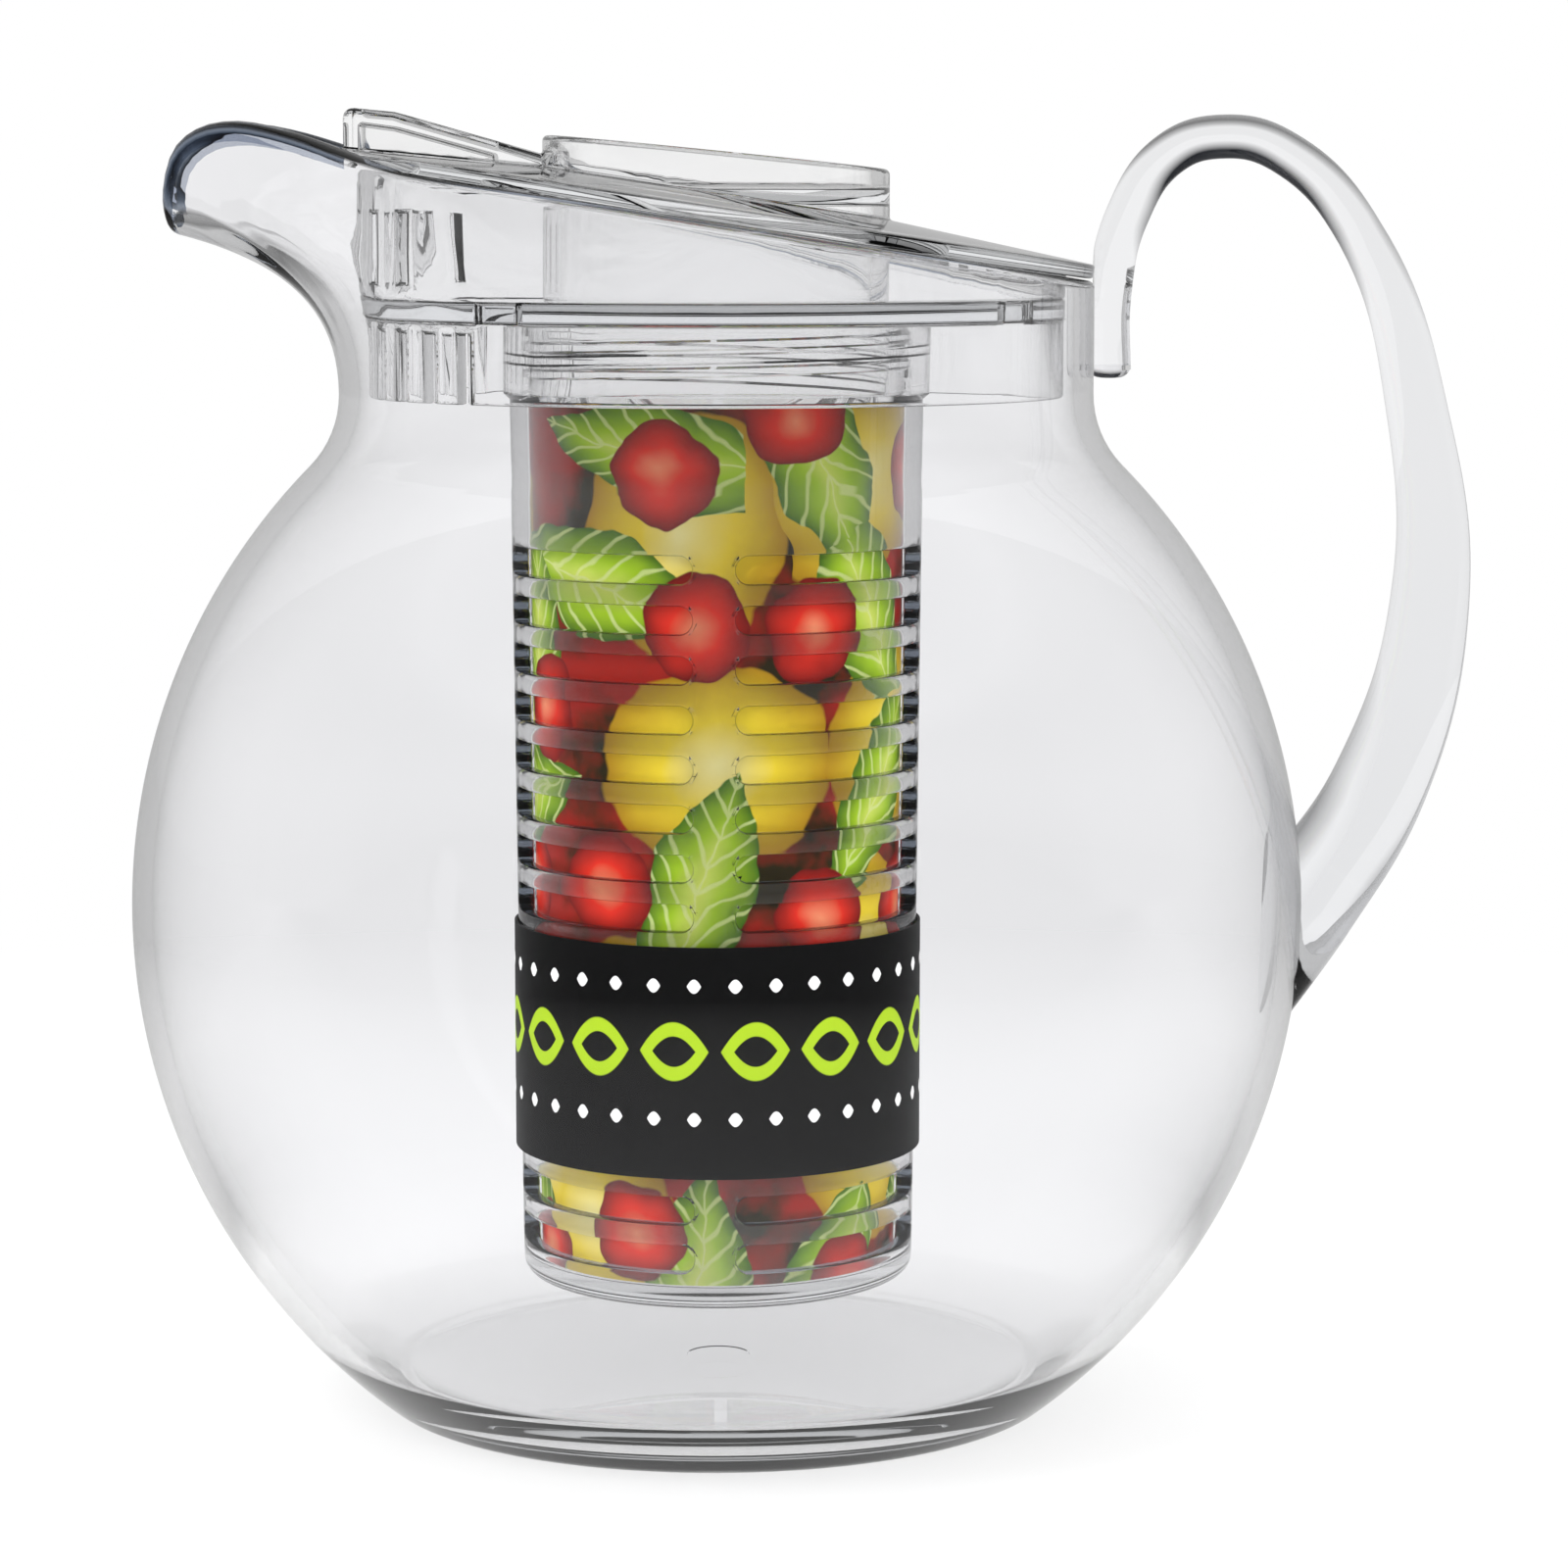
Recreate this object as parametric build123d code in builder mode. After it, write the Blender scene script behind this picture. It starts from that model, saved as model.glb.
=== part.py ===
from build123d import *
import os
from math import cos, radians, sin, sqrt, tan

# Clear pitcher with a lift-out lid and a screw-in fruit infuser, in millimetres.
# The origin is the centre of the base on the table, +Z is up, the spout points to -X and the handle to +X.

# Jug body: an egg-shaped belly with a flat base, and a straight neck cut off at a slant.
belly_radius = 91.5
belly_arc_radius = 98.0
belly_centre_z = 79.0
body_wall = 3.0
base_thickness = 6.0
base_edge_radius = 7.0
floor_edge_radius = 12.0
neck_radius = 58.6
neck_wall = 3.2
neck_blend_radius = 16.0
rim_rise = 106.5
rim_tilt = 8.7
gate_mark_radius = 5.0
gate_mark_depth = 0.5

# Spout: a trough that curves out of the neck about a level axis in front of it.
spout_length = 26.1
spout_axis_drop = 25.5
spout_axis_inset = 0.7
spout_rise = 23.0
spout_wall = 3.4
spout_root_half_width = 37.0
spout_tip_half_width = 14.5
spout_lift_gap = 0.8
spout_crest_inset = 12.5
spout_crest_rise = 5.45
spout_lip_drop = 11.1

# Handle: a bent rod that thickens towards its root on the belly.
handle_bite = 0.9
handle_end_drop = 24.1
handle_top_thickness = 6.8
handle_grip_thickness = 12.3
handle_root_thickness = 17.0
handle_width_ratio = 1.2
handle_reach = 53.0
handle_crown_rise = 13.1
handle_end_round = 1.2

# Lid: a cover that lies on the rim, and a base disc that carries the skirt and the threaded boss.
seat_gap = 0.1
lid_fit_gap = 1.3
flange_overhang = 0.4
flange_thickness = 2.2
flange_crown = 2.0
plug_wall = 2.2
seam_drop = 11.7
disc_thickness = 3.1
skirt_depth = 12.0
collar_radius = 26.9
collar_wall = 2.6
collar_rise = 10.7
collar_tilt = 5.7
collar_edge_radius = 0.9
web_rise = 4.8
web_thickness = 2.1
hood_half_width = 10.0
hood_rise = 17.5
hood_wall = 2.2
hood_end_inset = 2.0
hood_end_length = 8.0
hood_end_slope = 0.8
hood_foot_rise = 2.0
hood_foot_wall = 7.4
hood_edge_radius = 1.6
hood_inner_radius = 0.8
lug_width = 7.0
lug_gap = 0.2
comb_slot_width = 2.0
comb_slot_height = 10.5
comb_step = 8.0
comb_count = 13
strainer_slot_width = 2.4
strainer_count = 7
strainer_step = 11.0
strainer_slot_height = 11.0
strainer_slot_rise = 2.4

# Infuser: a drafted slotted tube with a threaded head that screws on the boss under the lid.
infuser_top_radius = 32.2
infuser_draft = 1.4
infuser_wall = 2.6
infuser_bottom_gap = 14.4
infuser_floor = 3.2
infuser_edge_radius = 2.4
head_radius = 33.2
head_wall = 2.7
head_height = 11.7
head_gap = 0.2
thread_pitch = 4.0
thread_depth = 0.9
thread_root_width = 1.9
thread_crest_width = 1.0
thread_gap = 0.3
boss_wall = 2.4
boss_end_gap = 0.5
slot_rows = 15
slot_row_step = 7.5
slot_first_rise = 7.9
slot_height = 4.2
slot_half_angle = 38.0

# Paper pieces: the rolled card in the tube and the sleeve round it.
card_thickness = 0.5
card_gap = 0.3
card_seam = 0.8
label_low_rise = 20.6
label_height = 35.5
label_thickness = 0.4
label_gap = 0.2

# Sizes that follow from those above.
slope = tan(radians(rim_tilt))
rim_axis_z = belly_centre_z + rim_rise
flange_radius = neck_radius + flange_overhang
lift_x = -(flange_radius + spout_lift_gap)
tip_x = -(neck_radius + spout_length)
spout_axis_x = tip_x + spout_axis_inset
spout_axis_z = rim_axis_z - spout_axis_drop
spout_crest_z = rim_axis_z - lift_x * slope + spout_crest_rise
spout_tip_z = spout_crest_z - spout_lip_drop
stock_top = rim_axis_z + spout_rise
handle_end_z = rim_axis_z - handle_end_drop
handle_crown_z = rim_axis_z + handle_crown_rise
seam_z = rim_axis_z - seam_drop
collar_axis_z = rim_axis_z + collar_rise
web_top_z = rim_axis_z + web_rise
hood_top_z = rim_axis_z + hood_rise
hood_end_x = hood_end_inset - flange_radius
hood_bend_x = hood_end_x + hood_end_length
infuser_bottom_z = base_thickness + infuser_bottom_gap
slot_first_z = infuser_bottom_z + slot_first_rise
label_low_z = infuser_bottom_z + label_low_rise
plug_radius = neck_radius - neck_wall - lid_fit_gap
disc_low_z = seam_z - disc_thickness
skirt_low_z = disc_low_z - skirt_depth
head_top_z = disc_low_z - head_gap
head_low_z = head_top_z - head_height
head_bore = head_radius - head_wall
boss_crest = head_bore - thread_gap
boss_root = boss_crest - thread_depth
boss_low_z = head_low_z + boss_end_gap
thread_low_z = boss_low_z + 0.3 * thread_pitch
thread_sink = thread_depth / 3
tube_bottom_radius = infuser_top_radius - infuser_draft
floor_top_z = infuser_bottom_z + infuser_floor
tube_slope = infuser_draft / (head_low_z - infuser_bottom_z)


def rim_z(x):
    return rim_axis_z - x * slope


def tube_radius(z):
    return tube_bottom_radius + (z - infuser_bottom_z) * tube_slope


def spout_fan(angle):
    turn = radians(angle)
    return Plane(
        origin=(spout_axis_x, 0, spout_axis_z),
        x_dir=(cos(turn), 0, sin(turn)),
        z_dir=(-sin(turn), 0, cos(turn)),
    )


def spout_outline(angle, inset):
    turn = cos(radians(max(angle, 0)))
    reach = spout_rise + (spout_length - spout_axis_inset / 3 - spout_rise) * turn + inset
    half = spout_tip_half_width + (spout_root_half_width - spout_tip_half_width) * turn - inset
    ThreePointArc((reach + half, -half), (reach, 0), (reach + half, half))
    end = reach + half + spout_rise
    Polyline((reach + half, half), (end, half), (end, -half), (reach + half, -half))


def jug_profile(wall, neck_inner, low_z, top_z):
    arc = belly_arc_radius - wall
    axis_x = belly_radius - belly_arc_radius
    low_x = axis_x + sqrt(arc**2 - (belly_centre_z - low_z) ** 2)
    shoulder_z = belly_centre_z + sqrt(arc**2 - (neck_inner - axis_x) ** 2)
    Line((0, low_z), (low_x, low_z))
    ThreePointArc((low_x, low_z), (belly_radius - wall, belly_centre_z), (neck_inner, shoulder_z))
    Polyline((neck_inner, shoulder_z), (neck_inner, top_z), (0, top_z), (0, low_z))


spout_angles = (-6, 18, 42, 66, 90, 98)
rim_plane = Plane(
    origin=(0, 0, rim_axis_z),
    x_dir=(cos(radians(rim_tilt)), 0, -sin(radians(rim_tilt))),
    z_dir=(sin(radians(rim_tilt)), 0, cos(radians(rim_tilt))),
)
collar_plane = Plane(
    origin=(0, 0, collar_axis_z),
    x_dir=(cos(radians(collar_tilt)), 0, -sin(radians(collar_tilt))),
    z_dir=(sin(radians(collar_tilt)), 0, cos(radians(collar_tilt))),
)

# Outer shape of the jug, before it is hollowed and its rim is cut.
with BuildPart() as jug_outer:
    with BuildSketch(Plane.XZ) as outer_profile:
        with BuildLine():
            jug_profile(0, neck_radius, 0, stock_top)
        make_face()
        corners = outer_profile.vertices().filter_by_position(Axis.X, 1, belly_radius).sort_by(Axis.Y)
        fillet(corners[0], base_edge_radius)
        corners = outer_profile.vertices().filter_by_position(Axis.X, 1, belly_radius).sort_by(Axis.Y)
        fillet(corners[-2], neck_blend_radius)
    revolve(axis=Axis.Z)
    for angle in spout_angles:
        with BuildSketch(spout_fan(angle)):
            with BuildLine():
                spout_outline(angle, 0)
            make_face()
    loft()

# Hollow of the jug: belly, neck and the channel of the spout.
with BuildPart() as jug_hollow:
    with BuildSketch(Plane.XZ) as hollow_profile:
        with BuildLine():
            jug_profile(body_wall, neck_radius - neck_wall, base_thickness, stock_top + body_wall)
        make_face()
        corners = hollow_profile.vertices().filter_by_position(Axis.X, 1, belly_radius).sort_by(Axis.Y)
        fillet(corners[0], floor_edge_radius)
        corners = hollow_profile.vertices().filter_by_position(Axis.X, 1, belly_radius).sort_by(Axis.Y)
        fillet(corners[-2], neck_blend_radius)
    revolve(axis=Axis.Z)
    for angle in spout_angles:
        with BuildSketch(spout_fan(angle)):
            with BuildLine():
                spout_outline(angle, spout_wall)
            make_face()
    loft()
    with Locations((0, 0, base_thickness - gate_mark_depth)):
        Cylinder(gate_mark_radius, gate_mark_depth + 1, align=(Align.CENTER, Align.CENTER, Align.MIN))

# Jug body: the rim is a slanted plane that lifts into the spout's crest and drops to its tip.
with BuildPart() as jug_body:
    add(jug_outer.part)
    add(jug_hollow.part, mode=Mode.SUBTRACT)
    with BuildSketch(Plane.XZ):
        with BuildLine():
            rim_line = Line((belly_radius, rim_z(belly_radius)), (lift_x, rim_z(lift_x)))
            lip_line = Spline(
                rim_line @ 1,
                (tip_x + spout_crest_inset, spout_crest_z),
                (tip_x + spout_crest_inset / 10, spout_tip_z + spout_lip_drop * 0.54),
                (tip_x, spout_tip_z),
                tangents=(rim_line % 1, (0, -1)),
            )
            Polyline(
                lip_line @ 1,
                (tip_x, spout_axis_z),
                (2 * tip_x, spout_axis_z),
                (2 * tip_x, 2 * stock_top),
                (belly_radius, 2 * stock_top),
                rim_line @ 0,
            )
        make_face()
    extrude(amount=belly_radius, both=True, mode=Mode.SUBTRACT)

# Handle: sections set square to the rod's line, from its end on the neck over the crown to the belly.
leg_x = neck_radius + handle_top_thickness / 2 - handle_bite
grip_x = neck_radius + handle_reach
crown_x = leg_x + 0.33 * handle_reach
drop = handle_crown_z - belly_centre_z
handle_stations = (
    (leg_x, handle_end_z, handle_top_thickness),
    (leg_x, handle_end_z + 0.109 * drop, handle_top_thickness),
    (leg_x + 0.049 * handle_reach, handle_crown_z - 0.102 * drop, handle_top_thickness),
    (leg_x + 0.174 * handle_reach, handle_crown_z - 0.0217 * drop, handle_top_thickness),
    (crown_x, handle_crown_z, handle_top_thickness),
    (crown_x + 0.17 * handle_reach, handle_crown_z - 0.0184 * drop, handle_top_thickness),
    (grip_x - 0.223 * handle_reach, handle_crown_z - 0.1237 * drop, handle_top_thickness * 1.06),
    (grip_x - 0.0415 * handle_reach, handle_crown_z - 0.3645 * drop, handle_grip_thickness * 0.78),
    (grip_x, handle_crown_z - 0.602 * drop, handle_grip_thickness),
    (grip_x - 0.14 * handle_reach, handle_crown_z - 0.843 * drop, handle_root_thickness * 0.88),
    (belly_radius, belly_centre_z - 0.0125 * drop, handle_root_thickness),
    (belly_radius - 0.302 * handle_reach, belly_centre_z - 0.1965 * drop, handle_root_thickness),
)
with BuildPart() as handle:
    for index, (x, z, thickness) in enumerate(handle_stations):
        before = handle_stations[max(index - 1, 0)]
        after = handle_stations[min(index + 1, len(handle_stations) - 1)]
        heading = (after[0] - before[0], 0, after[1] - before[1])
        with BuildSketch(Plane(origin=(x, 0, z), x_dir=(0, 1, 0), z_dir=heading)):
            Ellipse(thickness / 2 * handle_width_ratio, thickness / 2)
    loft()
    fillet(handle.faces().sort_by(Axis.X)[0].edges(), handle_end_round)
    add(jug_outer.part, mode=Mode.SUBTRACT)

# Hood over the spout: a hollow thumb tab with soft edges that falls towards the collar.
hood_foot_x = collar_wall / 6 - collar_radius
hood_foot_z = rim_z(-collar_radius) + flange_thickness + flange_crown + hood_foot_rise


def soft_edges(block, radius):
    """Rounds all edges of a block but those of its slanted lower face and of its foot at the collar."""
    low_face = block.faces().sort_by(Axis.Z)[0]
    foot_face = block.faces().sort_by(Axis.X)[-1]
    kept = low_face.edges() + foot_face.edges()
    fillet([edge for edge in block.edges() if edge not in kept], radius)


with BuildPart() as hood:
    with BuildSketch(Plane.XZ):
        with BuildLine():
            Polyline(
                (hood_end_x, rim_z(hood_end_x) + flange_thickness / 3),
                (hood_end_x, hood_top_z),
                (hood_bend_x, hood_top_z - hood_end_slope),
                (hood_foot_x, hood_foot_z),
                (hood_foot_x, rim_z(-collar_radius) + flange_thickness / 3),
                close=True,
            )
        make_face()
    extrude(amount=hood_half_width, both=True)
    soft_edges(hood, hood_edge_radius)

with BuildPart() as hood_hollow:
    with BuildSketch(Plane.XZ):
        with BuildLine():
            Polyline(
                (hood_end_x + hood_wall, rim_z(hood_end_x) - flange_thickness),
                (hood_end_x + hood_wall, hood_top_z - hood_wall),
                (hood_bend_x, hood_top_z - hood_end_slope - hood_wall),
                (hood_foot_x - hood_foot_wall, hood_foot_z),
                (hood_foot_x - hood_foot_wall, rim_z(-collar_radius) - flange_thickness),
                close=True,
            )
        make_face()
    extrude(amount=hood_half_width - hood_wall, both=True)
    soft_edges(hood_hollow, hood_inner_radius)

# Lid cover: plug wall, slanted flange, grip collar with its floor, and the hood over the spout.
with BuildPart() as lid_cover:
    with BuildSketch(Plane.XY.offset(seam_z)):
        Circle(plug_radius)
        Circle(plug_radius - plug_wall, mode=Mode.SUBTRACT)
    extrude(amount=stock_top - seam_z)
    with BuildSketch(Plane.XY.offset(seam_z - disc_thickness)):
        with PolarLocations(plug_radius - plug_wall / 2, 4, start_angle=55):
            Rectangle(plug_wall - 2 * lug_gap, lug_width)
    extrude(amount=disc_thickness + plug_wall / 2)
    strainer_turn = (strainer_count - 1) * strainer_step / 2
    with BuildSketch(Plane.XY.offset(seam_z + strainer_slot_rise)):
        with PolarLocations(
            plug_radius,
            strainer_count,
            start_angle=180 - strainer_turn,
            angular_range=2 * strainer_turn,
            endpoint=True,
        ):
            Rectangle(4 * plug_wall, strainer_slot_width)
    extrude(amount=strainer_slot_height, mode=Mode.SUBTRACT)
    with BuildSketch(rim_plane.offset(seat_gap + flange_thickness / 2)):
        Rectangle(4 * belly_radius, 4 * belly_radius)
    extrude(amount=4 * belly_radius, mode=Mode.SUBTRACT)
    with BuildSketch(Plane(origin=rim_plane.origin, x_dir=rim_plane.x_dir, z_dir=-rim_plane.y_dir)):
        with BuildLine():
            Polyline(
                (collar_radius - collar_wall, seat_gap),
                (flange_radius, seat_gap),
                (flange_radius, seat_gap + flange_thickness),
                (collar_radius, seat_gap + flange_thickness + flange_crown),
                (collar_radius - collar_wall, seat_gap + flange_thickness + flange_crown),
                close=True,
            )
        make_face()
    revolve(axis=Axis(rim_plane.origin, rim_plane.z_dir))
    add(hood.part)
    add(hood_hollow.part, mode=Mode.SUBTRACT)
    with BuildSketch(Plane.XY.offset(seam_z)):
        Circle(collar_radius - collar_wall)
    extrude(amount=stock_top, mode=Mode.SUBTRACT)
    with BuildSketch(Plane.XY.offset(seam_z)):
        Circle(collar_radius)
        Circle(collar_radius - collar_wall, mode=Mode.SUBTRACT)
    extrude(amount=stock_top - seam_z)
    with BuildSketch(collar_plane):
        Circle(collar_radius + collar_wall / 2)
    extrude(amount=stock_top - seam_z, mode=Mode.SUBTRACT)
    collar_top = lid_cover.faces().filter_by(collar_plane).sort_by(Axis.Z)[-1]
    fillet(collar_top.edges(), collar_edge_radius)
    with BuildSketch(Plane.XY.offset(web_top_z - web_thickness)):
        Circle(collar_radius - collar_wall / 2)
    extrude(amount=web_thickness)

# Lid base: disc with four windows, skirt with its comb on the spout side, boss with an outer thread.
with BuildPart() as lid_base:
    with BuildSketch(Plane.XY.offset(disc_low_z)):
        Circle(plug_radius)
        with PolarLocations(plug_radius - plug_wall / 2, 4, start_angle=55):
            Rectangle(plug_wall + 4 * lug_gap, lug_width + 2 * lug_gap, mode=Mode.SUBTRACT)
    extrude(amount=disc_thickness)
    with BuildSketch(Plane.XY.offset(skirt_low_z)):
        Circle(plug_radius - lug_gap)
        Circle(plug_radius - plug_wall, mode=Mode.SUBTRACT)
    extrude(amount=skirt_depth)
    comb_turn = (comb_count - 1) * comb_step / 2
    with BuildSketch(Plane.XY.offset(skirt_low_z)):
        with PolarLocations(
            plug_radius,
            comb_count,
            start_angle=180 - comb_turn,
            angular_range=2 * comb_turn,
            endpoint=True,
        ):
            Rectangle(4 * plug_wall, comb_slot_width)
    extrude(amount=comb_slot_height, mode=Mode.SUBTRACT)
    with BuildSketch(Plane.XY.offset(boss_low_z)):
        Circle(boss_root)
        Circle(boss_root - boss_wall, mode=Mode.SUBTRACT)
    extrude(amount=disc_low_z - boss_low_z)
    with BuildLine():
        boss_helix = Helix(thread_pitch, 2 * thread_pitch, boss_root, center=(0, 0, thread_low_z))
    with BuildSketch(Plane(origin=boss_helix @ 0, x_dir=(1, 0, 0), z_dir=boss_helix % 0)):
        with BuildLine():
            Polyline(
                (-thread_sink, -thread_root_width / 2),
                (thread_depth, -thread_crest_width / 2),
                (thread_depth, thread_crest_width / 2),
                (-thread_sink, thread_root_width / 2),
                close=True,
            )
        make_face()
    sweep(path=boss_helix, is_frenet=True)

# Infuser tube: drafted tube with a closed floor, threaded head and rows of slots cut from four sides.
with BuildPart() as infuser_tube:
    with BuildSketch(Plane.XZ):
        with BuildLine():
            Polyline(
                (0, infuser_bottom_z),
                (tube_bottom_radius, infuser_bottom_z),
                (infuser_top_radius, head_low_z),
                (head_radius, head_low_z + head_wall * 0.3),
                (head_radius, head_top_z),
                (head_bore, head_top_z),
                (head_bore, head_low_z),
                (infuser_top_radius - infuser_wall, head_low_z),
                (tube_radius(floor_top_z) - infuser_wall, floor_top_z),
                (0, floor_top_z),
                close=True,
            )
        make_face()
    revolve(axis=Axis.Z)
    fillet(infuser_tube.edges().filter_by(GeomType.CIRCLE).sort_by(Axis.Z)[0], infuser_edge_radius)
    slot_planes = [
        Plane((0, 0, 0), x_dir=(-sin(turn), cos(turn), 0), z_dir=(cos(turn), sin(turn), 0))
        for turn in (radians(45), radians(135), radians(225), radians(315))
    ]
    with BuildSketch(*slot_planes):
        with Locations((0, slot_first_z + (slot_rows - 1) * slot_row_step / 2)):
            with GridLocations(0, slot_row_step, 1, slot_rows):
                SlotOverall(2 * infuser_top_radius * sin(radians(slot_half_angle)), slot_height)
    extrude(amount=2 * infuser_top_radius, mode=Mode.SUBTRACT)
    with BuildLine():
        head_helix = Helix(
            thread_pitch, 1.75 * thread_pitch, head_bore, center=(0, 0, thread_low_z + thread_pitch / 2)
        )
    with BuildSketch(Plane(origin=head_helix @ 0, x_dir=(1, 0, 0), z_dir=head_helix % 0)):
        with BuildLine():
            Polyline(
                (thread_sink, -thread_root_width / 2),
                (-thread_depth, -thread_crest_width / 2),
                (-thread_depth, thread_crest_width / 2),
                (thread_sink, thread_root_width / 2),
                close=True,
            )
        make_face()
    sweep(path=head_helix, is_frenet=True)

# Fruit card: thin card rolled to the tube's bore, with an open seam at the back.
card_low_z = floor_top_z + card_gap
card_top_z = head_low_z - card_gap
with BuildPart() as fruit_card:
    with BuildSketch(Plane.XZ):
        with BuildLine():
            card_foot = tube_radius(card_low_z) - infuser_wall - card_gap
            card_head = tube_radius(card_top_z) - infuser_wall - card_gap
            Polyline(
                (card_foot - card_thickness, card_low_z),
                (card_foot, card_low_z),
                (card_head, card_top_z),
                (card_head - card_thickness, card_top_z),
                close=True,
            )
        make_face()
    revolve(axis=Axis.Z)
    with Locations((0, card_head, (card_low_z + card_top_z) / 2)):
        Box(card_seam, card_head / 3, 2 * (card_top_z - card_low_z), mode=Mode.SUBTRACT)

# Label band: paper sleeve round the tube.
with BuildPart() as label_band:
    label_bore = tube_radius(label_low_z + label_height) + label_gap
    with BuildSketch(Plane.XY.offset(label_low_z)):
        Circle(label_bore + label_thickness)
        Circle(label_bore, mode=Mode.SUBTRACT)
    extrude(amount=label_height)

os.makedirs("parts", exist_ok=True)
for name, piece in (
    ("jug_body", jug_body),
    ("handle", handle),
    ("lid_cover", lid_cover),
    ("lid_base", lid_base),
    ("infuser_tube", infuser_tube),
    ("fruit_card", fruit_card),
    ("label_band", label_band),
):
    piece.part.label = name
    export_step(piece.part, f"parts/{name}.step")
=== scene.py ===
import math

import bpy
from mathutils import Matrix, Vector


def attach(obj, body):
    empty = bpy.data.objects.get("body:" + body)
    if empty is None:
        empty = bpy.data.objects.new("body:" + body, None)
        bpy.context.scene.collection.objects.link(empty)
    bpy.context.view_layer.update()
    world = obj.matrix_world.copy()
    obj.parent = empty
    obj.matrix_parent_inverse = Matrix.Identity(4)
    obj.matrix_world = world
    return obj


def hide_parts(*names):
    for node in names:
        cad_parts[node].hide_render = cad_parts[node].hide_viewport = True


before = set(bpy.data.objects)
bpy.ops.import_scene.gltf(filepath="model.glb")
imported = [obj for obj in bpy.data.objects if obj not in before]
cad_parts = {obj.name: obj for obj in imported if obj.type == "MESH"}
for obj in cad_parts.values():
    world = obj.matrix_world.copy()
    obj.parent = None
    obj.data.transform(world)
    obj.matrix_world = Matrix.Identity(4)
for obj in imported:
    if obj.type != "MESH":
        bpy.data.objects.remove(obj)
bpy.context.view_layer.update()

# Jug body. One blown-looking moulding of clear acrylic: a round belly on a flat base, a straight neck
# with a slanted rim, and a spout that is drawn out of the neck while the plastic is soft.
# It is spun from its half outline, the spout is pulled out of the neck, and the wall thickens inwards.
MM = 0.001
BELLY_RADIUS = 91.5
BELLY_ARC = 98.0
BELLY_Z = 79.0
NECK_RADIUS = 58.6
NECK_BLEND = 16.0
BASE_EDGE = 7.0
RIM_Z = 185.5
RIM_SLOPE = math.tan(math.radians(8.7))
JUG_WALL = 3.1
BASE_EXTRA = 2.9
BASE_FLAT = (46.0, 62.0)
BASE_SIDE_Z = 26.0
GATE_RADIUS = 4.95
GATE_DEPTH = 0.15
RIM_ROUND = 1.25
NECK_ROWS = 24
# The next two bound the lip's edge that gets the painted slate shade.
LIP_SHADE_BAND = 0.94
LIP_SHADE_TURN = 44
LIP_END = 88
LIP_PULL = 0.42
JUG_TINT = "#fdfdfe"
# The rim's tint is painted shade: slate grey where the acrylic's edges look dark.
RIM_PAINTED_SHADE = "#a4adc0"
WALL_SHADE = "#b8c0c8"
WALL_DENSITY = 3.0


def rim_height(x):
    return RIM_Z - x * RIM_SLOPE


def arc(x, z, radius, start, end, count):
    """Points of a round outline about (x, z), from one angle to another, in degrees."""
    turns = [math.radians(start + (end - start) * i / count) for i in range(count + 1)]
    return [(x + radius * math.cos(a), z + radius * math.sin(a)) for a in turns]


def spin_outline(name, outline, steps=192):
    """Draws a half outline point by point in the XZ plane, in mm, and spins it round the Z axis."""
    bpy.ops.object.select_all(action="DESELECT")
    x, z = outline[0]
    bpy.ops.mesh.primitive_plane_add(size=MM, location=(x * MM, 0, z * MM))
    piece = bpy.context.object
    piece.name = piece.data.name = name
    bpy.ops.object.transform_apply(location=True, rotation=True, scale=True)
    bpy.ops.object.mode_set(mode="EDIT")
    bpy.ops.mesh.select_mode(type="VERT")
    bpy.ops.mesh.select_all(action="SELECT")
    bpy.ops.mesh.merge(type="CENTER")
    for (x0, z0), (x1, z1) in zip(outline, outline[1:]):
        move = ((x1 - x0) * MM, 0, (z1 - z0) * MM)
        bpy.ops.mesh.extrude_region_move(TRANSFORM_OT_translate={"value": move})
    bpy.ops.mesh.select_all(action="SELECT")
    bpy.ops.mesh.spin(steps=steps, angle=2 * math.pi, center=(0, 0, 0), axis=(0, 0, 1))
    bpy.ops.mesh.select_all(action="SELECT")
    bpy.ops.mesh.remove_doubles(threshold=0.002 * MM)
    bpy.ops.mesh.normals_make_consistent(inside=False)
    bpy.ops.object.mode_set(mode="OBJECT")
    return piece


def choose(piece, kind, wanted):
    """Opens the piece in edit mode with only the wanted vertices, edges or faces selected."""
    bpy.ops.object.select_all(action="DESELECT")
    piece.select_set(True)
    bpy.context.view_layer.objects.active = piece
    bpy.ops.object.mode_set(mode="EDIT")
    bpy.ops.mesh.select_mode(type=kind)
    bpy.ops.mesh.select_all(action="DESELECT")
    bpy.ops.object.mode_set(mode="OBJECT")
    parts = {"VERT": piece.data.vertices, "EDGE": piece.data.edges, "FACE": piece.data.polygons}[kind]
    for index in wanted:
        parts[index].select = True
    bpy.ops.object.mode_set(mode="EDIT")


def finish_with(piece, kind, **settings):
    """Adds one modifier to the piece and applies it."""
    bpy.ops.object.select_all(action="DESELECT")
    piece.select_set(True)
    bpy.context.view_layer.objects.active = piece
    modifier = piece.modifiers.new(kind.title(), kind)
    for key, value in settings.items():
        setattr(modifier, key, value)
    bpy.ops.object.modifier_apply(modifier=modifier.name)


def hex_colour(text):
    """An sRGB hex colour as the linear colour that Blender works in."""
    values = [int(text[i : i + 2], 16) / 255 for i in (1, 3, 5)]
    return [v / 12.92 if v <= 0.04045 else ((v + 0.055) / 1.055) ** 2.4 for v in values] + [1.0]


def add_node(tree, kind, settings=None, inputs=None):
    """Adds a node, sets it up and gives each named or numbered input a value or a link."""
    node = tree.nodes.new(kind)
    for key, value in (settings or {}).items():
        setattr(node, key, value)
    for key, value in (inputs or {}).items():
        if isinstance(value, bpy.types.NodeSocket):
            tree.links.new(value, node.inputs[key])
        else:
            node.inputs[key].default_value = value
    return node


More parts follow.
